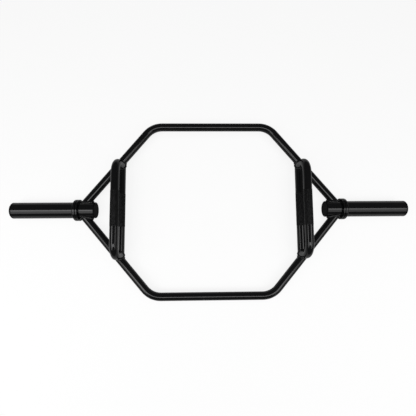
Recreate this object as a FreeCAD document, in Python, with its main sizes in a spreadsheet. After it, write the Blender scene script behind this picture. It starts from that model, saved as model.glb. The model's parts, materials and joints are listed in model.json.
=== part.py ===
import FreeCAD, Part
import Sketcher
import math
import os

# Hex trap bar with turning plate sleeves.
# X runs along the sleeves, +Y is the rear long bar and +Z is up. The origin is on the floor under the middle of
# the hexagon, where the level bar would stand on its four flanges. Sizes are in millimetres.
DRIVING_SIZES = (
    ("overall_length", 1240.0, "over both sleeve end caps"),
    ("corner_x", 414.5, "middle to where the diagonals' centre lines meet the sleeve axis"),
    ("vertex_x", 187.5, "middle to where a long bar's and a diagonal's centre lines meet"),
    ("bar_y", 269.0, "sleeve axis to a long bar's centre line"),
    ("frame_bend_radius", 65.0, "centre line of the frame tubes' bends"),
    ("frame_tube_diameter", 25.4, "one-inch tube"),
    ("frame_tube_wall", 3.0, ""),
    ("handle_tube_diameter", 25.0, ""),
    ("handle_tube_wall", 3.0, ""),
    ("handle_spacing", 569.0, "between the centre lines of the left and right handles"),
    ("handle_rise", 75.0, "raised grip's centre line above the low handle's"),
    ("leg_inset", 13.0, "a raised handle's leg inside the crossing of low handle and diagonal, on centre lines"),
    ("raised_bend_radius", 37.0, "centre line of the raised handles' bends"),
    ("knurl_length", 105.0, "knurled middle of each grip"),
    ("knurl_rise", 0.25, "knurled middle stands proud of the plain tube"),
    ("root_gap", 0.1, "between a coped tube end and the piece that it is welded to"),
    ("hub_weld_leg", 5.0, "weld of a diagonal on its hub"),
    ("handle_weld_leg", 3.0, "weld of a low handle on the diagonals"),
    ("foot_weld_leg", 4.0, "weld round a raised handle's foot, on the leg's side"),
    ("parting_x", 417.0, "middle to the parting line between hub and sleeve"),
    ("flange_gap", 1.5, "width of the parting line"),
    ("flange_diameter", 67.0, ""),
    ("hub_flange_width", 5.25, ""),
    ("sleeve_flange_width", 9.25, ""),
    ("flange_edge_radius", 3.5, "sleeve flange's edge on the plate side"),
    ("flange_lip_radius", 1.0, "the flanges' other edges"),
    ("flange_seat_step", 1.0, "radial step in hub and sleeve tube that the flange is pushed up to"),
    ("hub_diameter", 50.0, ""),
    ("hub_wall", 4.0, ""),
    ("hub_length", 50.75, ""),
    ("plug_rim", 3.0, "part of the hub plug that shows"),
    ("plug_insert", 10.0, "part of the hub plug in the tube"),
    ("plug_wall", 2.5, ""),
    ("plug_edge_radius", 1.5, ""),
    ("plug_gap", 1.0, "hub plug to the spindle's head"),
    ("sleeve_diameter", 50.0, "for plates with a 50 mm bore"),
    ("sleeve_wall", 4.0, ""),
    ("cap_rim", 6.0, "part of the sleeve end cap that shows"),
    ("cap_insert", 10.0, "part of the sleeve end cap in the tube"),
    ("cap_wall", 2.0, ""),
    ("cap_edge_radius", 3.0, ""),
    ("journal_diameter", 30.0, "spindle's running diameter"),
    ("spindle_recess", 4.0, "spindle's outer end to the sleeve end cap"),
    ("spindle_lip", 4.0, "spindle's outer end to the retaining ring"),
    ("spindle_chamfer", 1.5, ""),
    ("bushing_length", 35.0, ""),
    ("thrust_washer_diameter", 44.0, ""),
    ("retaining_washer_diameter", 37.0, ""),
    ("retaining_washer_thickness", 2.0, ""),
    ("ring_diameter", 36.0, "retaining ring's outer diameter"),
    ("ring_thickness", 1.75, ""),
    ("ring_groove_diameter", 28.6, ""),
    ("ring_opening", 35.0, "degrees of a full turn that the retaining ring leaves open"),
    ("seat_clearance", 0.05, "radial, between pieces that don't move on each other"),
    ("running_clearance", 0.05, "radial, between a bushing and its journal"),
    ("end_play", 0.3, "axial play of the sleeve at each end"),
)

# Places and radii worked out from the driving sizes, for the right-hand side.
WORKED_OUT = (
    ("axis_height", "flange_diameter / 2"),
    ("frame_tube_r", "frame_tube_diameter / 2"),
    ("frame_bore_r", "frame_tube_r - frame_tube_wall"),
    ("handle_tube_r", "handle_tube_diameter / 2"),
    ("handle_bore_r", "handle_tube_r - handle_tube_wall"),
    ("handle_cope_r", "handle_tube_r + root_gap"),
    ("knurl_r", "handle_tube_r + knurl_rise"),
    ("knurl_root_r", "handle_tube_r - handle_tube_wall / 2"),
    ("handle_x", "handle_spacing / 2"),
    ("handle_reach", "(corner_x - handle_x) * bar_y / (corner_x - vertex_x)"),
    ("leg_y", "handle_reach - leg_inset"),
    ("flange_r", "flange_diameter / 2"),
    ("hub_r", "hub_diameter / 2"),
    ("hub_bore_r", "hub_r - hub_wall"),
    ("hub_seat_r", "hub_r - flange_seat_step"),
    ("hub_face_x", "parting_x - flange_gap / 2"),
    ("hub_flange_x", "hub_face_x - hub_flange_width"),
    ("hub_end_x", "hub_face_x - hub_length"),
    ("plug_end_x", "hub_end_x - plug_rim"),
    ("plug_tail_x", "hub_end_x + plug_insert"),
    ("plug_r", "hub_bore_r - seat_clearance"),
    ("plug_bore_r", "plug_r - plug_wall"),
    ("sleeve_r", "sleeve_diameter / 2"),
    ("sleeve_bore_r", "sleeve_r - sleeve_wall"),
    ("sleeve_seat_r", "sleeve_r - flange_seat_step"),
    ("sleeve_face_x", "parting_x + flange_gap / 2"),
    ("sleeve_flange_x", "sleeve_face_x + sleeve_flange_width"),
    ("cap_end_x", "overall_length / 2"),
    ("sleeve_end_x", "cap_end_x - cap_rim"),
    ("cap_tail_x", "sleeve_end_x - cap_insert"),
    ("cap_r", "sleeve_bore_r - seat_clearance"),
    ("cap_bore_r", "cap_r - cap_wall"),
    ("journal_r", "journal_diameter / 2"),
    ("spindle_head_x", "plug_tail_x + plug_gap"),
    ("spindle_head_r", "hub_bore_r - seat_clearance"),
    ("spindle_end_x", "sleeve_end_x - spindle_recess"),
    ("ring_outer_x", "spindle_end_x - spindle_lip"),
    ("ring_inner_x", "ring_outer_x - ring_thickness"),
    ("ring_groove_r", "ring_groove_diameter / 2"),
    ("ring_r", "ring_diameter / 2"),
    ("washer_x", "ring_inner_x - retaining_washer_thickness"),
    ("washer_r", "retaining_washer_diameter / 2"),
    ("journal_seat_r", "journal_r + seat_clearance"),
    ("thrust_face_x", "sleeve_face_x - end_play"),
    ("thrust_r", "thrust_washer_diameter / 2"),
    ("bushing_r", "sleeve_bore_r - seat_clearance"),
    ("bushing_bore_r", "journal_r + running_clearance"),
    ("inner_bushing_end_x", "sleeve_face_x + bushing_length"),
    ("outer_bushing_end_x", "washer_x - end_play"),
    ("outer_bushing_x", "outer_bushing_end_x - bushing_length"),
)

LENGTH_TOLERANCE = 1e-6
SIDES = ("left", "right")

os.makedirs("parts", exist_ok=True)
doc = FreeCAD.newDocument("hex_trap_bar")
sheet = doc.addObject("Spreadsheet::Sheet", "Sizes")
for row, (alias, size, note) in enumerate(DRIVING_SIZES, start=1):
    sheet.set(f"A{row}", alias)
    sheet.set(f"B{row}", str(size))
    sheet.setAlias(f"B{row}", alias)
    sheet.set(f"C{row}", note)
for row, (alias, formula) in enumerate(WORKED_OUT, start=len(DRIVING_SIZES) + 1):
    sheet.set(f"A{row}", alias)
    sheet.set(f"B{row}", f"={formula}")
    sheet.setAlias(f"B{row}", alias)
doc.recompute()

aliases = [entry[0] for entry in DRIVING_SIZES + WORKED_OUT]


def on_sheet(text):
    """A formula of sheet names, as an expression that any object of the document can hold."""
    words = []
    for word in text.replace("(", "( ").replace(")", " )").split():
        words.append(f"Sizes.{word}" if word in aliases else word)
    return " ".join(words)


def size_of(text):
    """The present value of a formula of sheet names."""
    return float(sheet.evalExpression(on_sheet(text)))


def bind(item, path, text):
    item.setExpression(path, on_sheet(text))


def new_body(label, x="0", turned_round=False):
    """A body whose own origin lies on the sleeve axis; turned_round faces it the other way along X and Y."""
    body = doc.addObject("PartDesign::Body", label)
    body.Label = label
    half_turn = FreeCAD.Rotation(FreeCAD.Vector(0, 0, 1), 180 if turned_round else 0)
    body.Placement = FreeCAD.Placement(FreeCAD.Vector(), half_turn)
    bind(body, "Placement.Base.x", x)
    bind(body, "Placement.Base.z", "axis_height")
    return body


def new_sketch(body, plane, name):
    sketch = body.newObject("Sketcher::SketchObject", name)
    support = [feature for feature in body.Origin.OriginFeatures if feature.Role == plane]
    sketch.AttachmentSupport = (support[0], [""])
    sketch.MapMode = "FlatFace"
    return sketch


def dimension(sketch, kind, element, point, text):
    """Hold a point at a sheet distance from the sketch's origin."""
    if text == "0":
        axis = -1 if kind == "DistanceY" else -2
        sketch.addConstraint(Sketcher.Constraint("PointOnObject", element, point, axis))
        return
    number = sketch.addConstraint(Sketcher.Constraint(kind, -1, 1, element, point, size_of(text)))
    bind(sketch, f"Constraints[{number}]", text)


def draw_outline(sketch, corners):
    """A closed outline of straight lines through corners given as two formulas each."""
    spots = [FreeCAD.Vector(size_of(across), size_of(up), 0) for across, up in corners]
    count = len(spots)
    for i in range(count):
        sketch.addGeometry(Part.LineSegment(spots[i], spots[(i + 1) % count]), False)
    for i in range(count):
        sketch.addConstraint(Sketcher.Constraint("Coincident", i, 2, (i + 1) % count, 1))
    for i, (across, up) in enumerate(corners):
        dimension(sketch, "DistanceX", i, 1, across)
        dimension(sketch, "DistanceY", i, 1, up)


def draw_circles(sketch, across, up, radii):
    """Circles about one centre."""
    centre = FreeCAD.Vector(size_of(across), size_of(up), 0)
    for radius in radii:
        circle = sketch.addGeometry(Part.Circle(centre, FreeCAD.Vector(0, 0, 1), size_of(radius)), False)
        dimension(sketch, "DistanceX", circle, 3, across)
        dimension(sketch, "DistanceY", circle, 3, up)
        number = sketch.addConstraint(Sketcher.Constraint("Radius", circle, size_of(radius)))
        bind(sketch, f"Constraints[{number}]", radius)


def draw_bent_path(sketch, start, vertex, end, bend_radius):
    """Two straight runs and the arc between them; the three points are given as two formulas each."""
    first, corner, last = [FreeCAD.Vector(size_of(across), size_of(up), 0) for across, up in (start, vertex, end)]
    radius = size_of(bend_radius)
    along_in = (corner - first).normalize()
    along_out = (last - corner).normalize()
    turn = along_in.getAngle(along_out)
    tangent = radius * math.tan(turn / 2)
    arc_start = corner - along_in * tangent
    arc_end = corner + along_out * tangent
    to_centre = (along_out - along_in).normalize()
    centre = corner + to_centre * (radius / math.cos(turn / 2))
    arc_middle = centre - to_centre * radius
    sketch.addGeometry(Part.LineSegment(first, arc_start), False)
    sketch.addGeometry(Part.Arc(arc_start, arc_middle, arc_end), False)
    sketch.addGeometry(Part.LineSegment(arc_end, last), False)
    sketch.addGeometry(Part.Point(corner), True)
    arc_ends = sorted((1, 2), key=lambda point: sketch.getPoint(1, point).distanceToPoint(arc_start))
    sketch.addConstraint(Sketcher.Constraint("Tangent", 0, 2, 1, arc_ends[0]))
    sketch.addConstraint(Sketcher.Constraint("Tangent", 1, arc_ends[1], 2, 1))
    sketch.addConstraint(Sketcher.Constraint("PointOnObject", 3, 1, 0))
    sketch.addConstraint(Sketcher.Constraint("PointOnObject", 3, 1, 2))
    for element, point, (across, up) in ((0, 1, start), (3, 1, vertex), (2, 2, end)):
        dimension(sketch, "DistanceX", element, point, across)
        dimension(sketch, "DistanceY", element, point, up)
    number = sketch.addConstraint(Sketcher.Constraint("Radius", 1, radius))
    bind(sketch, f"Constraints[{number}]", bend_radius)


def sweep_and_mirror(body, path, profile, plane):
    """Sweep a section along half of a bent tube and mirror it to the whole tube."""
    pipe = body.newObject("PartDesign::AdditivePipe", body.Label + "_sweep")
    pipe.Profile = profile
    pipe.Spine = (path, ["Edge1", "Edge2", "Edge3"])
    mirror = body.newObject("PartDesign::Mirrored", body.Label + "_mirror")
    mirror.TransformMode = "Whole shape"
    mirror.MirrorPlane = ([f for f in body.Origin.OriginFeatures if f.Role == plane][0], [""])
    body.Tip = mirror
    return mirror


def turned_piece(label, side, corners, sweep="360"):
    """A piece turned about the sleeve axis, from an outline of (along the axis, radius) corners."""
    body = new_body(label, turned_round=side == "left")
    sketch = new_sketch(body, "XY_Plane", label + "_outline")
    draw_outline(sketch, corners)
    turning = body.newObject("PartDesign::Revolution", label + "_turning")
    turning.Profile = sketch
    turning.ReferenceAxis = (sketch, ["H_Axis"])
    bind(turning, "Angle", sweep)
    return body


def rectangle(x_from, x_to, r_from, r_to):
    return ((x_from, r_from), (x_to, r_from), (x_to, r_to), (x_from, r_to))


def round_rims(body, rim_radius, edge_radius, at_x=None):
    """Round the circular edges of one radius, all of them or those at one place along the axis."""
    doc.recompute()
    base = body.Tip
    names = []
    for number, edge in enumerate(base.Shape.Edges, start=1):
        if not isinstance(edge.Curve, Part.Circle):
            continue
        if abs(edge.Curve.Radius - size_of(rim_radius)) > LENGTH_TOLERANCE:
            continue
        if at_x is None or abs(edge.Curve.Center.x - size_of(at_x)) < LENGTH_TOLERANCE:
            names.append(f"Edge{number}")
    fillet = body.newObject("PartDesign::Fillet", body.Label + "_rounding")
    fillet.Base = (base, names)
    bind(fillet, "Radius", edge_radius)
    body.Tip = fillet


def bar_of(name, direction, radius, length, x="0", y="0", z="axis_height"):
    """A round bar from a point along +X, +Y or +Z, used to cut and to bound other pieces."""
    turns = {
        "x": FreeCAD.Rotation(FreeCAD.Vector(0, 1, 0), 90),
        "y": FreeCAD.Rotation(FreeCAD.Vector(1, 0, 0), -90),
        "z": FreeCAD.Rotation(),
    }
    bar = doc.addObject("Part::Cylinder", name)
    bar.Placement = FreeCAD.Placement(FreeCAD.Vector(), turns[direction])
    bind(bar, "Radius", radius)
    bind(bar, "Height", length)
    for path, text in (("x", x), ("y", y), ("z", z)):
        bind(bar, f"Placement.Base.{path}", text)
    return bar


def joined(name, pieces):
    fuse = doc.addObject("Part::MultiFuse", name)
    fuse.Shapes = pieces
    return fuse


def shared(name, first, second):
    common = doc.addObject("Part::MultiCommon", name)
    common.Shapes = [first, second]
    return common


def trimmed(label, piece, cutter):
    cut = doc.addObject("Part::Cut", label)
    cut.Label = label
    cut.Base = piece
    cut.Tool = cutter
    return cut


def bent_frame_tube(label, radii, front):
    """A long bar with its two diagonals, from sleeve axis to sleeve axis."""
    body = new_body(label, turned_round=front)
    path = new_sketch(body, "XY_Plane", label + "_path")
    draw_bent_path(path, ("0", "bar_y"), ("vertex_x", "bar_y"), ("corner_x", "0"), "frame_bend_radius")
    profile = new_sketch(body, "YZ_Plane", label + "_section")
    draw_circles(profile, "bar_y", "0", radii)
    sweep_and_mirror(body, path, profile, "YZ_Plane")
    return body


def frame_tube(label, front):
    """A bent tube whose ends are coped round the hubs and cut back to the hub flanges."""
    body = bent_frame_tube(label, ("frame_tube_r", "frame_bore_r"), front)
    hub_circle = new_sketch(body, "YZ_Plane", label + "_cope_circle")
    draw_circles(hub_circle, "0", "0", ("hub_r + root_gap",))
    cope = body.newObject("PartDesign::Pocket", label + "_cope")
    cope.Profile = hub_circle
    cope.Type = "ThroughAll"
    cope.SideType = "Symmetric"
    room = new_sketch(body, "XY_Plane", label + "_flange_outline")
    draw_outline(room, rectangle("hub_flange_x - root_gap", "cap_end_x", "0", "flange_r + root_gap"))
    relief = body.newObject("PartDesign::Groove", label + "_flange_room")
    relief.Profile = room
    relief.ReferenceAxis = (room, ["H_Axis"])
    other_side = body.newObject("PartDesign::Mirrored", label + "_flange_room_mirror")
    other_side.Originals = [relief]
    other_side.MirrorPlane = ([f for f in body.Origin.OriginFeatures if f.Role == "YZ_Plane"][0], [""])
    body.Tip = other_side
    return body


def frame_outline(name, radius):
    """The space that the two bent tubes fill, as solid bars of one radius."""
    rear = bent_frame_tube(name + "_rear", (radius,), False)
    front = bent_frame_tube(name + "_front", (radius,), True)
    return joined(name, [rear, front])


def add_knurled_band(body, z):
    """A grip's knurled middle, a little proud of the plain tube."""
    ring = new_sketch(body, "XZ_Plane", body.Label + "_knurl_ring")
    draw_circles(ring, "0", z, ("knurl_r", "knurl_root_r"))
    band = body.newObject("PartDesign::Pad", body.Label + "_knurl_band")
    band.Profile = ring
    band.SideType = "Symmetric"
    bind(band, "Length", "knurl_length")
    body.Tip = band


def side_x(side, name="handle_x"):
    return f"-1 * {name}" if side == "left" else name


def low_handle(side, cutter):
    """A straight tube between the diagonals, coped round both."""
    label = f"low_handle_{side}"
    body = new_body(label + "_blank", side_x(side))
    section = new_sketch(body, "XZ_Plane", label + "_section")
    draw_circles(section, "0", "0", ("handle_tube_r", "handle_bore_r"))
    tube = body.newObject("PartDesign::Pad", label + "_tube")
    tube.Profile = section
    tube.SideType = "Symmetric"
    bind(tube, "Length", "2 * handle_reach")
    add_knurled_band(body, "0")
    return trimmed(label, body, cutter)


def raised_handle(side, cutter):
    """A U-shaped tube whose legs are coped over the low handle's ends and the diagonals."""
    label = f"raised_handle_{side}"
    body = new_body(label + "_blank", side_x(side))
    path = new_sketch(body, "YZ_Plane", label + "_path")
    draw_bent_path(path, ("0", "handle_rise"), ("leg_y", "handle_rise"), ("leg_y", "0"), "raised_bend_radius")
    section = new_sketch(body, "XZ_Plane", label + "_section")
    draw_circles(section, "0", "handle_rise", ("handle_tube_r", "handle_bore_r"))
    sweep_and_mirror(body, path, section, "XZ_Plane")
    add_knurled_band(body, "handle_rise")
    return trimmed(label, body, cutter)


def legs(name, side, radius):
    """The two legs of a raised handle, as solid bars from the frame's plane to the grip's underside."""
    both = []
    for end, y in (("rear", "leg_y"), ("front", "-1 * leg_y")):
        both.append(bar_of(f"{name}_{end}", "z", radius, "handle_rise / 2", side_x(side), y))
    return joined(name, both)


nodes = []

# The frame: two bent tubes, and the spaces they fill at three radii for coping and for the welds.
frame_solid = frame_outline("frame_solid", "frame_tube_r")
frame_cope = frame_outline("frame_cope", "frame_tube_r + root_gap")
frame_hub_bead = frame_outline("frame_hub_bead", "frame_tube_r + hub_weld_leg")
frame_handle_bead = frame_outline("frame_handle_bead", "frame_tube_r + handle_weld_leg")
nodes.append(frame_tube("frame_tube_rear", False))
nodes.append(frame_tube("frame_tube_front", True))

for side in SIDES:
    handle_at = {"x": side_x(side), "y": "-1 * handle_reach"}
    handle_span = "2 * handle_reach"
    handle_cope = bar_of(f"handle_cope_{side}", "y", "handle_cope_r", handle_span, **handle_at)
    handle_bead = bar_of(f"handle_bead_{side}", "y", "handle_cope_r + handle_weld_leg", handle_span, **handle_at)
    legs_solid = legs(f"legs_solid_{side}", side, "handle_tube_r")
    legs_bead = legs(f"legs_bead_{side}", side, "handle_tube_r + foot_weld_leg")

    nodes.append(low_handle(side, frame_cope))
    nodes.append(raised_handle(side, joined(f"leg_cope_{side}", [frame_cope, handle_cope])))

    # Weld of the low handle: the corner between handle and diagonal, clear of the raised handle's legs.
    low_corner = shared(f"low_corner_{side}", handle_bead, frame_handle_bead)
    low_filled = joined(f"low_filled_{side}", [handle_cope, frame_solid, legs_solid])
    nodes.append(trimmed(f"low_handle_welds_{side}", low_corner, low_filled))

    # Weld of the raised handle: the corner round each leg's foot, clear of the low handle's weld.
    foot_ground = joined(f"foot_ground_{side}", [frame_handle_bead, handle_bead])
    foot_corner = shared(f"foot_corner_{side}", legs_bead, foot_ground)
    foot_filled = joined(f"foot_filled_{side}", [low_filled, low_corner])
    nodes.append(trimmed(f"raised_handle_welds_{side}", foot_corner, foot_filled))

    # Welds of the two diagonals on the hub tube, which end at the hub's flange.
    hub_run = "hub_flange_x - hub_end_x"
    hub_start = "-1 * hub_flange_x" if side == "left" else "hub_end_x"
    hub_bead = bar_of(f"hub_bead_{side}", "x", "hub_r + hub_weld_leg", hub_run, hub_start)
    hub_solid = bar_of(f"hub_solid_{side}", "x", "hub_r", hub_run, hub_start)
    hub_corner = shared(f"hub_corner_{side}", frame_hub_bead, hub_bead)
    hub_filled = joined(f"hub_filled_{side}", [frame_solid, hub_solid])
    nodes.append(trimmed(f"hub_welds_{side}", hub_corner, hub_filled))

# The hub side of each sleeve joint: tube, flange, spindle and plug, which stay with the frame.
for side in SIDES:
    nodes.append(turned_piece(f"hub_tube_{side}", side, (
        ("hub_end_x", "hub_bore_r"),
        ("hub_end_x", "hub_r"),
        ("hub_flange_x", "hub_r"),
        ("hub_flange_x", "hub_seat_r"),
        ("hub_face_x", "hub_seat_r"),
        ("hub_face_x", "hub_bore_r"),
    )))

    hub_ring = rectangle("hub_flange_x", "hub_face_x", "hub_seat_r + seat_clearance", "flange_r")
    hub_flange = turned_piece(f"hub_flange_{side}", side, hub_ring)
    round_rims(hub_flange, "flange_r", "flange_lip_radius")
    nodes.append(hub_flange)

    nodes.append(turned_piece(f"spindle_{side}", side, (
        ("spindle_head_x", "0"),
        ("spindle_head_x", "spindle_head_r"),
        ("hub_face_x", "spindle_head_r"),
        ("hub_face_x", "journal_r"),
        ("ring_inner_x - seat_clearance", "journal_r"),
        ("ring_inner_x - seat_clearance", "ring_groove_r"),
        ("ring_outer_x + seat_clearance", "ring_groove_r"),
        ("ring_outer_x + seat_clearance", "journal_r"),
        ("spindle_end_x - spindle_chamfer", "journal_r"),
        ("spindle_end_x", "journal_r - spindle_chamfer"),
        ("spindle_end_x", "0"),
    )))

    hub_plug = turned_piece(f"hub_plug_{side}", side, (
        ("plug_end_x", "0"),
        ("plug_end_x", "hub_r"),
        ("hub_end_x", "hub_r"),
        ("hub_end_x", "plug_r"),
        ("plug_tail_x", "plug_r"),
        ("plug_tail_x", "plug_bore_r"),
        ("hub_end_x", "plug_bore_r"),
        ("hub_end_x", "0"),
    ))
    round_rims(hub_plug, "hub_r", "plug_edge_radius", at_x="plug_end_x")
    nodes.append(hub_plug)

    thrust = rectangle("hub_face_x", "thrust_face_x", "journal_seat_r", "thrust_r")
    nodes.append(turned_piece(f"thrust_washer_{side}", side, thrust))

    stop = rectangle("washer_x", "ring_inner_x", "journal_seat_r", "washer_r")
    nodes.append(turned_piece(f"retaining_washer_{side}", side, stop))

    open_ring = rectangle("ring_inner_x", "ring_outer_x", "ring_groove_r + seat_clearance", "ring_r")
    nodes.append(turned_piece(f"retaining_ring_{side}", side, open_ring, "360 - ring_opening"))

# The sleeves, which turn on the spindles.
for side in SIDES:
    nodes.append(turned_piece(f"sleeve_tube_{side}", side, (
        ("sleeve_face_x", "sleeve_bore_r"),
        ("sleeve_face_x", "sleeve_seat_r"),
        ("sleeve_flange_x", "sleeve_seat_r"),
        ("sleeve_flange_x", "sleeve_r"),
        ("sleeve_end_x", "sleeve_r"),
        ("sleeve_end_x", "sleeve_bore_r"),
    )))

    sleeve_ring = rectangle("sleeve_face_x", "sleeve_flange_x", "sleeve_seat_r + seat_clearance", "flange_r")
    sleeve_flange = turned_piece(f"sleeve_flange_{side}", side, sleeve_ring)
    round_rims(sleeve_flange, "flange_r", "flange_edge_radius", at_x="sleeve_flange_x")
    round_rims(sleeve_flange, "flange_r", "flange_lip_radius", at_x="sleeve_face_x")
    nodes.append(sleeve_flange)

    inner_wall = rectangle("sleeve_face_x", "inner_bushing_end_x", "bushing_bore_r", "bushing_r")
    nodes.append(turned_piece(f"inner_bushing_{side}", side, inner_wall))

    outer_wall = rectangle("outer_bushing_x", "outer_bushing_end_x", "bushing_bore_r", "bushing_r")
    nodes.append(turned_piece(f"outer_bushing_{side}", side, outer_wall))

    end_cap = turned_piece(f"sleeve_end_cap_{side}", side, (
        ("cap_tail_x", "cap_bore_r"),
        ("cap_tail_x", "cap_r"),
        ("sleeve_end_x", "cap_r"),
        ("sleeve_end_x", "sleeve_r"),
        ("cap_end_x", "sleeve_r"),
        ("cap_end_x", "0"),
        ("sleeve_end_x", "0"),
        ("sleeve_end_x", "cap_bore_r"),
    ))
    round_rims(end_cap, "sleeve_r", "cap_edge_radius", at_x="cap_end_x")
    nodes.append(end_cap)

doc.recompute()
failed = [item.Label for item in doc.Objects if {"Invalid", "Error"} & set(item.State)]
failed += [node.Label for node in nodes if node.Shape.isNull() or not node.Shape.isValid()]
if failed:
    raise RuntimeError("failed: " + ", ".join(failed))
for node in nodes:
    node.Shape.exportStep(f"parts/{node.Label}.step")
    print(node.Label, len(node.Shape.Solids), "solids", round(node.Shape.Volume), "mm3")
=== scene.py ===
import bpy
import json
import math
import numpy as np
from mathutils import Matrix, Vector


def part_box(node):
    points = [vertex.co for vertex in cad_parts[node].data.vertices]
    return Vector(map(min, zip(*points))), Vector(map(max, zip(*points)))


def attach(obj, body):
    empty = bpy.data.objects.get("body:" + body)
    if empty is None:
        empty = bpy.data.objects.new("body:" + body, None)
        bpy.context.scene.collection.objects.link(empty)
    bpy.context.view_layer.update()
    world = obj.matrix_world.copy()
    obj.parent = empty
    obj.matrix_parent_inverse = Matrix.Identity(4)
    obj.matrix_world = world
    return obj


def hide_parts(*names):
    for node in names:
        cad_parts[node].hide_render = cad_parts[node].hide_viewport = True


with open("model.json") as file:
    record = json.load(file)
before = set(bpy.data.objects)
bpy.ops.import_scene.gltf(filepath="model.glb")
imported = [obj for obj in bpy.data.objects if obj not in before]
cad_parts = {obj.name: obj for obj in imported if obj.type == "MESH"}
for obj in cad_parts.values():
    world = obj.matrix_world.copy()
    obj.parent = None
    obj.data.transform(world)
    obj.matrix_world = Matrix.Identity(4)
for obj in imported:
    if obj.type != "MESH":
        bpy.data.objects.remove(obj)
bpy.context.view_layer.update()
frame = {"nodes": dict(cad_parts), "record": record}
nodes = frame["nodes"]
MM = 0.001

# Each side with its sign along X, and the signs along Y of the rear and the front diagonal.
SIDES = (("left", -1), ("right", 1))
DIAGONALS = (1, -1)

# Sizes read from the frame, for the right-hand side.
rear_low, rear_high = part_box("frame_tube_rear")
low_handle_low, low_handle_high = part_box("low_handle_right")
_, raised_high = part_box("raised_handle_right")
hub_low, hub_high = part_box("hub_tube_right")
hub_flange_low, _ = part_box("hub_flange_right")
AXIS_Z = (rear_low.z + rear_high.z) / 2
FRAME_TUBE_R = (rear_high.z - rear_low.z) / 2
BAR_Y = rear_high.y - FRAME_TUBE_R
HANDLE_X = (low_handle_low.x + low_handle_high.x) / 2
KNURL_R = (low_handle_high.x - low_handle_low.x) / 2
RAISED_Z = raised_high.z - KNURL_R
HUB_R = (hub_high.z - hub_low.z) / 2
HUB_FLANGE_X = hub_flange_low.x

# Sizes that the frame's boxes don't show. The diagonals' centre lines run from the corner to the vertex.
CORNER_X = 414.5 * MM
VERTEX_X = 187.5 * MM
HANDLE_TUBE_R = 12.5 * MM
KNURL_LENGTH = 105 * MM
LEG_Y = raised_high.y - HANDLE_TUBE_R

# The knurling: diamonds round the grip, their height, the valleys' share of it, their length over width,
# and how deep the skin reaches into the grip.
KNURL_COUNT = 50
KNURL_HEIGHT = 0.16 * MM
KNURL_VALLEY = 0.11
KNURL_SLENDERNESS = 1.7
KNURL_SKIN = 0.3 * MM

# The weld beads: radius, how much fatter the hub's is in its sharp corner, ripple length, ripple depth
# as a share of the radius, and the mesh's fineness round the bead and along it.
HUB_BEAD_R = 3.2 * MM
HUB_BEAD_SWELL = 1.5
HANDLE_BEAD_R = 3.0 * MM
FOOT_BEAD_R = 3.0 * MM
EVEN_BEAD = 0
RIPPLE_LENGTH = 3.2 * MM
RIPPLE_DEPTH = 0.16
BEAD_SIDES = 14
BEAD_STEP = 0.5 * MM
BEAD_LEAST_STEPS = 24
LOOP_POINTS = 360

# Gloss enamel: paint and dust colours, refractive index, orange peel, and lumps per metre of each texture.
ENAMEL_BLACK = (0.003, 0.003, 0.0033)
ENAMEL_DUST = (0.03, 0.029, 0.028)
ENAMEL_IOR = 1.42
ENAMEL_SMEARS = 45
ENAMEL_SPECKS = 2600
SPECK_START = 0.72
SPECK_END = 0.80
PEEL_LUMPS = 700
PEEL_DEPTH = 0.12 * MM
PEEL_STRENGTH = 0.12
FRAME_ROUGHNESS = (0.06, 0.13)
SLEEVE_ROUGHNESS = (0.07, 0.14)

# Thin matte paint on the knurling.
KNURL_BLACK = (0.002, 0.002, 0.0022)
KNURL_RUBBED = (0.006, 0.006, 0.0062)
KNURL_IOR = 1.22
KNURL_PATCHES = 90
KNURL_SMEARS = 220
KNURL_ROUGHNESS = (0.25, 0.4)
KNURL_GRAIN = 4000
KNURL_GRAIN_DEPTH = 0.04 * MM
KNURL_GRAIN_STRENGTH = 0.3

# Moulded black plastic.
PLASTIC_BLACK = (0.0015, 0.0015, 0.0016)
PLASTIC_WORN = (0.003, 0.003, 0.0032)
PLASTIC_IOR = 1.18
PLASTIC_PATCHES = 60
PLASTIC_SMEARS = 120
PLASTIC_ROUGHNESS = (0.6, 0.72)
PLASTIC_GRAIN = 1800
PLASTIC_GRAIN_DEPTH = 0.06 * MM
PLASTIC_GRAIN_STRENGTH = 0.2

# Bare turned metal: dark and bright colour, and roughness between the lathe's rings and on them.
BRONZE_DARK = (0.42, 0.25, 0.10)
BRONZE_BRIGHT = (0.60, 0.38, 0.17)
BRONZE_ROUGHNESS = (0.24, 0.38)
STEEL_DARK = (0.42, 0.42, 0.43)
STEEL_BRIGHT = (0.60, 0.60, 0.61)
STEEL_ROUGHNESS = (0.22, 0.36)
METAL_PATCHES = 80
LATHE_RINGS = 30
LATHE_STRETCH = (120, 1, 1)
LATHE_DEPTH = 0.04 * MM
LATHE_STRENGTH = 0.3

# The softboxes face down. Those beside the bar are in two banks: distance from the middle, Y, size and watts.
BANK_STRENGTH = {"left": 1.15, "right": 0.9}
BANK_HEIGHT = 1.1
BANK_BOXES = {
    "softbox_rear": (1.05, -0.14, (0.66, 0.32), 2.2),
    "softbox_front": (1.31, -0.75, (1.18, 0.9), 4.8),
    "softbox_inner": (0.66, -0.52, (0.26, 0.4), 1.6),
}
HIGH_BOX_PLACE = (0, -0.6, 2.3)
HIGH_BOX_SIZE = (1.7, 0.6)
HIGH_BOX_WATTS = 12.8
FILL_PLACE = (0, 0, 2.6)
FILL_SIZE = (3, 3)
FILL_WATTS = 35

# The floor and the world: the floor's own grey, how much paler it is where it is seen straight, how much
# of floor and world shows plain white there and in reflections, and the light that comes from all round.
FLOOR_REACH = 12
FLOOR_GREY = 0.45
FLOOR_PALER = 0.45
FLOOR_SEEN = 0.85
FLOOR_REFLECTED = 0.12
WORLD_WHITE = (1, 1, 1, 1)
WORLD_SEEN = 0.82
WORLD_REFLECTED = 0.05
WORLD_LIGHT = 0.05

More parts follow.
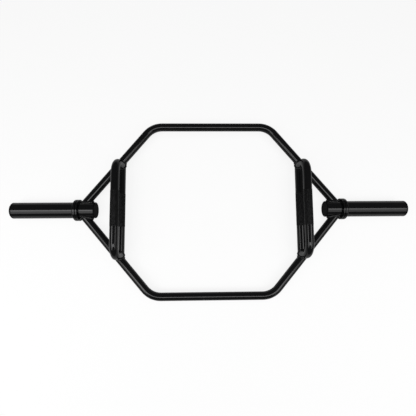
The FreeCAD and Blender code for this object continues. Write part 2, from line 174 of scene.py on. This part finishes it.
# The camera, fitted to the photograph: its place over the sleeve axis, its turns in degrees
# and its focal length in pixels.
IMAGE_PIXELS = 416
CAMERA_PLACE = (-31.9 * MM, -85.1 * MM, 949.2 * MM)
CAMERA_TILT = 5.43
CAMERA_PAN = -1.30
CAMERA_ROLL = -0.32
FOCAL_PIXELS = 300
SENSOR_WIDTH = 36
CLIP_START = 0.01


class Shader:
    """A material under construction: short names for adding and joining its nodes."""

    def __init__(self, name):
        self.material = bpy.data.materials.new(name)
        self.material.use_nodes = True
        self.tree = self.material.node_tree
        self.surface = self.tree.nodes["Principled BSDF"]
        self.place = self.add("ShaderNodeTexCoord").outputs["Object"]

    def add(self, kind, **settings):
        node = self.tree.nodes.new(kind)
        for name, value in settings.items():
            setattr(node, name, value)
        return node

    def join(self, source, target):
        self.tree.links.new(source, target)

    def set(self, name, value):
        self.surface.inputs[name].default_value = value

    def noise(self, lumps, detail, stretch=(1, 1, 1)):
        """Noise with so many lumps per metre, stretched along the axes."""
        mapping = self.add("ShaderNodeMapping")
        mapping.inputs["Scale"].default_value = stretch
        self.join(self.place, mapping.inputs["Vector"])
        texture = self.add("ShaderNodeTexNoise")
        texture.inputs["Scale"].default_value = lumps
        texture.inputs["Detail"].default_value = detail
        self.join(mapping.outputs["Vector"], texture.inputs["Vector"])
        return texture.outputs["Fac"]

    def spread(self, source, low, high, start=0.3, end=0.7):
        """Spread a noise over a range of values."""
        spreader = self.add("ShaderNodeMapRange")
        for name, value in (("From Min", start), ("From Max", end), ("To Min", low), ("To Max", high)):
            spreader.inputs[name].default_value = value
        self.join(source, spreader.inputs["Value"])
        return spreader.outputs["Result"]

    def blend_colours(self, share, first, second):
        mixer = self.add("ShaderNodeMix", data_type="RGBA")
        mixer.inputs["A"].default_value = (*first, 1)
        mixer.inputs["B"].default_value = (*second, 1)
        self.join(share, mixer.inputs["Factor"])
        return mixer.outputs["Result"]

    def bump(self, height, depth, strength):
        bumper = self.add("ShaderNodeBump")
        bumper.inputs["Distance"].default_value = depth
        bumper.inputs["Strength"].default_value = strength
        self.join(height, bumper.inputs["Height"])
        return bumper.outputs["Normal"]

    def finish(self, colour, roughness, normal):
        self.join(colour, self.surface.inputs["Base Color"])
        self.join(roughness, self.surface.inputs["Roughness"])
        self.join(normal, self.surface.inputs["Normal"])
        return self.material


def enamel(name, roughness):
    """Gloss black enamel: slight orange peel, smears that dull it and a few specks of dust."""
    shader = Shader(name)
    shader.set("IOR", ENAMEL_IOR)
    smears = shader.noise(ENAMEL_SMEARS, detail=4)
    specks = shader.spread(shader.noise(ENAMEL_SPECKS, detail=1), 0, 1, SPECK_START, SPECK_END)
    colour = shader.blend_colours(specks, ENAMEL_BLACK, ENAMEL_DUST)
    dulled = shader.spread(smears, *roughness)
    peel = shader.bump(shader.noise(PEEL_LUMPS, detail=2), PEEL_DEPTH, PEEL_STRENGTH)
    return shader.finish(colour, dulled, peel)


def knurled_paint():
    """Thin matte paint on the knurling, rubbed a little lighter in patches."""
    shader = Shader("knurled_paint")
    shader.set("IOR", KNURL_IOR)
    patches = shader.spread(shader.noise(KNURL_PATCHES, detail=4), 0, 1)
    colour = shader.blend_colours(patches, KNURL_BLACK, KNURL_RUBBED)
    dulled = shader.spread(shader.noise(KNURL_SMEARS, detail=3), *KNURL_ROUGHNESS)
    grain = shader.bump(shader.noise(KNURL_GRAIN, detail=1), KNURL_GRAIN_DEPTH, KNURL_GRAIN_STRENGTH)
    return shader.finish(colour, dulled, grain)


def moulded_plastic():
    """Black plastic of the plugs, with a fine moulded grain."""
    shader = Shader("moulded_plastic")
    shader.set("IOR", PLASTIC_IOR)
    patches = shader.spread(shader.noise(PLASTIC_PATCHES, detail=3), 0, 1)
    colour = shader.blend_colours(patches, PLASTIC_BLACK, PLASTIC_WORN)
    dulled = shader.spread(shader.noise(PLASTIC_SMEARS, detail=3), *PLASTIC_ROUGHNESS)
    grain = shader.bump(shader.noise(PLASTIC_GRAIN, detail=2), PLASTIC_GRAIN_DEPTH, PLASTIC_GRAIN_STRENGTH)
    return shader.finish(colour, dulled, grain)


def turned_metal(name, dark, bright, roughness):
    """Bare turned metal with the lathe's fine rings across the sleeve axis."""
    shader = Shader(name)
    shader.set("Metallic", 1)
    rings = shader.noise(LATHE_RINGS, detail=2, stretch=LATHE_STRETCH)
    patches = shader.spread(shader.noise(METAL_PATCHES, detail=3), 0, 1)
    colour = shader.blend_colours(patches, dark, bright)
    dulled = shader.spread(rings, *roughness)
    return shader.finish(colour, dulled, shader.bump(rings, LATHE_DEPTH, LATHE_STRENGTH))


def mesh_piece(name, points, faces, material):
    """A painted piece that rides on the frame."""
    mesh = bpy.data.meshes.new(name)
    mesh.from_pydata([tuple(point) for point in points], [], faces)
    mesh.validate()
    mesh.materials.append(material)
    piece = bpy.data.objects.new(name, mesh)
    bpy.context.scene.collection.objects.link(piece)
    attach(piece, "frame")
    return piece


def knurled_skin(name, x, z, material):
    """A skin of knurled diamonds round a grip along Y: a point over each diamond, valleys between."""
    columns = 2 * KNURL_COUNT
    pitch = 2 * math.pi * KNURL_R / columns
    rows = 2 * round(KNURL_LENGTH / (2 * pitch * KNURL_SLENDERNESS))
    turns = [2 * math.pi * column / columns for column in range(columns)]
    points = []
    for row in range(rows + 1):
        y = KNURL_LENGTH * (row / rows - 0.5)
        at_end = row in (0, rows)
        for column, turn in enumerate(turns):
            on_point = (row + column) % 2 == 1 and not at_end
            radius = KNURL_R + (KNURL_HEIGHT if on_point else KNURL_HEIGHT * KNURL_VALLEY)
            points.append((x + radius * math.cos(turn), y, z + radius * math.sin(turn)))
    faces = []
    for row in range(rows):
        for column in range(columns):
            after = (column + 1) % columns
            a = row * columns + column
            b = row * columns + after
            c = (row + 1) * columns + after
            d = (row + 1) * columns + column
            if (row + column) % 2 == 1:
                faces += [(a, d, b), (b, d, c)]
            else:
                faces += [(a, d, c), (a, c, b)]
    inner_start = len(points)
    inner_radius = KNURL_R - KNURL_SKIN
    for y in (-KNURL_LENGTH / 2, KNURL_LENGTH / 2):
        for turn in turns:
            points.append((x + inner_radius * math.cos(turn), y, z + inner_radius * math.sin(turn)))
    last = rows * columns
    for column in range(columns):
        after = (column + 1) % columns
        first = inner_start + column
        first_after = inner_start + after
        second = inner_start + columns + column
        second_after = inner_start + columns + after
        faces.append((first, first_after, second_after, second))
        faces.append((first, column, after, first_after))
        faces.append((second, second_after, last + after, last + column))
    mesh_piece(name, points, faces, material)


def even_line(loop):
    """A closed line with evenly spaced points."""
    closed = np.vstack([loop, loop[:1]])
    along = np.concatenate([[0], np.cumsum(np.linalg.norm(np.diff(closed, axis=0), axis=1))])
    steps = max(BEAD_LEAST_STEPS, round(along[-1] / BEAD_STEP))
    places = np.linspace(0, along[-1], steps, endpoint=False)
    return np.stack([np.interp(places, along, closed[:, axis]) for axis in range(3)], 1)


def bead(name, loops, radius, swell, material, node_replaced):
    """Rippled weld beads along closed lines, fatter towards the bar's middle, in place of a weld node."""
    points = []
    faces = []
    for loop in loops:
        line = even_line(np.array(loop))
        count = len(line)
        ahead = np.roll(line, -1, 0) - np.roll(line, 1, 0)
        ahead /= np.linalg.norm(ahead, axis=1)[:, None]
        outward = line - line.mean(0)
        outward -= (outward * ahead).sum(1)[:, None] * ahead
        outward /= np.linalg.norm(outward, axis=1)[:, None]
        across = np.cross(ahead, outward)
        length = np.linalg.norm(line - np.roll(line, 1, 0), axis=1).sum()
        ripples = max(1, round(length / RIPPLE_LENGTH))
        reach = np.abs(line[:, 0])
        fatness = 1 + swell * ((reach.max() - reach) / np.ptp(reach)) ** 2
        start = len(points)
        for i in range(count):
            ripple = abs(math.sin(math.pi * ripples * i / count))
            size = radius * fatness[i] * (1 - RIPPLE_DEPTH + RIPPLE_DEPTH * ripple)
            for side in range(BEAD_SIDES):
                turn = 2 * math.pi * side / BEAD_SIDES
                points.append(line[i] + size * (math.cos(turn) * outward[i] + math.sin(turn) * across[i]))
        for i in range(count):
            here = start + i * BEAD_SIDES
            there = start + (i + 1) % count * BEAD_SIDES
            for side in range(BEAD_SIDES):
                after = (side + 1) % BEAD_SIDES
                faces.append((here + side, here + after, there + after, there + side))
    piece = mesh_piece(name, points, faces, material)
    piece.data.shade_smooth()
    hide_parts(node_replaced)


LOOP_TURNS = [2 * math.pi * i / LOOP_POINTS for i in range(LOOP_POINTS)]


def diagonal_frame(side_sign, rear_sign):
    """A diagonal's corner on the sleeve axis, its direction towards the long bar and its outward normal."""
    corner = np.array([side_sign * CORNER_X, 0, AXIS_Z])
    vertex = np.array([side_sign * VERTEX_X, rear_sign * BAR_Y, AXIS_Z])
    along = (vertex - corner) / np.linalg.norm(vertex - corner)
    outward = np.array([side_sign * abs(along[1]), rear_sign * abs(along[0]), 0])
    return corner, along, outward


def hub_loop(side_sign, rear_sign):
    """Where a diagonal meets the hub tube, and its flange where that comes first."""
    corner, along, outward = diagonal_frame(side_sign, rear_sign)
    up = np.array([0, 0, 1])
    loop = []
    for turn in LOOP_TURNS:
        offset = FRAME_TUBE_R * (math.cos(turn) * outward + math.sin(turn) * up)
        reach_y = math.sqrt(HUB_R ** 2 - offset[2] ** 2)
        to_hub = (rear_sign * reach_y - offset[1]) / along[1]
        to_flange = (side_sign * HUB_FLANGE_X - corner[0] - offset[0]) / along[0]
        loop.append(corner + offset + along * max(to_hub, to_flange))
    return loop


def handle_loop(side_sign, rear_sign):
    """Where a low handle meets a diagonal."""
    corner, _, outward = diagonal_frame(side_sign, rear_sign)
    loop = []
    for turn in LOOP_TURNS:
        x = side_sign * HANDLE_X + HANDLE_TUBE_R * math.cos(turn)
        rise = HANDLE_TUBE_R * math.sin(turn)
        depth = math.sqrt(FRAME_TUBE_R ** 2 - rise ** 2)
        y = (-depth - outward[0] * (x - corner[0])) / outward[1]
        loop.append(np.array([x, y, AXIS_Z + rise]))
    return loop


def foot_loop(side_sign, rear_sign):
    """Where a raised handle's leg meets the low handle and the diagonal, whichever is higher."""
    corner, _, outward = diagonal_frame(side_sign, rear_sign)
    loop = []
    for turn in LOOP_TURNS:
        x = side_sign * HANDLE_X + HANDLE_TUBE_R * math.cos(turn)
        y = rear_sign * LEG_Y + HANDLE_TUBE_R * math.sin(turn)
        from_diagonal = outward @ (np.array([x, y, AXIS_Z]) - corner)
        rise = math.sqrt(max(0, FRAME_TUBE_R ** 2 - from_diagonal ** 2))
        if from_diagonal < 0:
            rise = max(rise, HANDLE_TUBE_R * abs(math.sin(turn)))
        loop.append(np.array([x, y, AXIS_Z + rise]))
    return loop


def area_light(name, place, size, watts):
    """A softbox that faces down."""
    lamp = bpy.data.lights.new(name, "AREA")
    lamp.shape = "RECTANGLE"
    lamp.size, lamp.size_y = size
    lamp.energy = watts
    light = bpy.data.objects.new(name, lamp)
    bpy.context.scene.collection.objects.link(light)
    light.location = place
    return light


def sum_of_rays(tree, seen, reflected, other):
    """A value for all rays, with more for those that see straight or through glass, or by reflection."""
    rays = tree.nodes.new("ShaderNodeLightPath")
    total = None
    for name, value in (("Is Camera Ray", seen), ("Is Transmission Ray", seen), ("Is Glossy Ray", reflected)):
        adder = tree.nodes.new("ShaderNodeMath")
        adder.operation = "MULTIPLY_ADD"
        adder.inputs[1].default_value = value
        adder.inputs[2].default_value = other
        tree.links.new(rays.outputs[name], adder.inputs[0])
        if total is not None:
            tree.links.new(total, adder.inputs[2])
        total = adder.outputs[0]
    return total


def white_floor():
    """A plain floor that takes the shadow, and is white where it is seen straight."""
    mesh = bpy.data.meshes.new("floor")
    corners = [(x * FLOOR_REACH, y * FLOOR_REACH, 0) for x, y in ((-1, -1), (1, -1), (1, 1), (-1, 1))]
    mesh.from_pydata(corners, [], [(0, 1, 2, 3)])
    floor = bpy.data.objects.new("floor", mesh)
    bpy.context.scene.collection.objects.link(floor)
    material = bpy.data.materials.new("floor_white")
    material.use_nodes = True
    tree = material.node_tree
    tree.nodes.clear()
    output = tree.nodes.new("ShaderNodeOutputMaterial")
    mixer = tree.nodes.new("ShaderNodeMixShader")
    paper = tree.nodes.new("ShaderNodeBsdfDiffuse")
    tree.links.new(sum_of_rays(tree, FLOOR_PALER, 0, FLOOR_GREY), paper.inputs["Color"])
    glow = tree.nodes.new("ShaderNodeEmission")
    tree.links.new(sum_of_rays(tree, FLOOR_SEEN, FLOOR_REFLECTED, 0), mixer.inputs["Fac"])
    tree.links.new(paper.outputs["BSDF"], mixer.inputs[1])
    tree.links.new(glow.outputs["Emission"], mixer.inputs[2])
    tree.links.new(mixer.outputs["Shader"], output.inputs["Surface"])
    mesh.materials.append(material)


def studio_world():
    """Faint light from all round, white where it is seen straight."""
    world = bpy.data.worlds.new("studio")
    world.use_nodes = True
    tree = world.node_tree
    backdrop = tree.nodes["Background"]
    backdrop.inputs["Color"].default_value = WORLD_WHITE
    strength = sum_of_rays(tree, WORLD_SEEN, WORLD_REFLECTED, WORLD_LIGHT)
    tree.links.new(strength, backdrop.inputs["Strength"])
    bpy.context.scene.world = world


def photograph_camera():
    """The camera at the photograph's angle."""
    camera = bpy.data.cameras.new("camera")
    camera.sensor_width = SENSOR_WIDTH
    camera.lens = FOCAL_PIXELS * SENSOR_WIDTH / IMAGE_PIXELS
    camera.clip_start = CLIP_START
    view = bpy.data.objects.new("camera", camera)
    bpy.context.scene.collection.objects.link(view)
    turn = (
        Matrix.Rotation(math.radians(CAMERA_TILT), 4, "X")
        @ Matrix.Rotation(math.radians(CAMERA_PAN), 4, "Y")
        @ Matrix.Rotation(math.radians(CAMERA_ROLL), 4, "Z")
    )
    place = Vector(CAMERA_PLACE) + Vector((0, 0, AXIS_Z))
    view.matrix_world = Matrix.Translation(place) @ turn
    bpy.context.scene.camera = view


# Materials of the CAD nodes.
gloss = enamel("gloss_enamel", FRAME_ROUGHNESS)
sleeve_gloss = enamel("sleeve_enamel", SLEEVE_ROUGHNESS)
material_of_slot = {
    "black_paint": gloss,
    "plug_plastic": moulded_plastic(),
    "bushing_bronze": turned_metal("oiled_bronze", BRONZE_DARK, BRONZE_BRIGHT, BRONZE_ROUGHNESS),
    "bare_steel": turned_metal("turned_steel", STEEL_DARK, STEEL_BRIGHT, STEEL_ROUGHNESS),
}
slot_of = {part["node"]: part["material_slot"] for part in frame["record"]["subparts"]}
for name, node in nodes.items():
    node.data.materials.clear()
    on_sleeve = name.startswith(("sleeve_tube", "sleeve_flange"))
    node.data.materials.append(sleeve_gloss if on_sleeve else material_of_slot[slot_of[name]])
    node.data.shade_smooth()

# Knurling and weld beads.
knurled = knurled_paint()
BEADS = (
    ("hub_welds", hub_loop, HUB_BEAD_R, HUB_BEAD_SWELL),
    ("low_handle_welds", handle_loop, HANDLE_BEAD_R, EVEN_BEAD),
    ("raised_handle_welds", foot_loop, FOOT_BEAD_R, EVEN_BEAD),
)
for side, side_sign in SIDES:
    knurled_skin(f"low_knurling_{side}", side_sign * HANDLE_X, AXIS_Z, knurled)
    knurled_skin(f"raised_knurling_{side}", side_sign * HANDLE_X, RAISED_Z, knurled)
    for name, loop, radius, swell in BEADS:
        loops = [loop(side_sign, rear_sign) for rear_sign in DIAGONALS]
        bead(f"{name}_bead_{side}", loops, radius, swell, gloss, f"{name}_{side}")

# Studio.
white_floor()
photograph_camera()
for side, side_sign in SIDES:
    for name, (x, y, size, watts) in BANK_BOXES.items():
        place = (side_sign * x, y, BANK_HEIGHT)
        area_light(f"{name}_{side}", place, size, watts * BANK_STRENGTH[side])
area_light("softbox_high", HIGH_BOX_PLACE, HIGH_BOX_SIZE, HIGH_BOX_WATTS)
fill = area_light("fill", FILL_PLACE, FILL_SIZE, FILL_WATTS)
fill.visible_glossy = False
studio_world()
bpy.context.scene.view_settings.view_transform = "Standard"
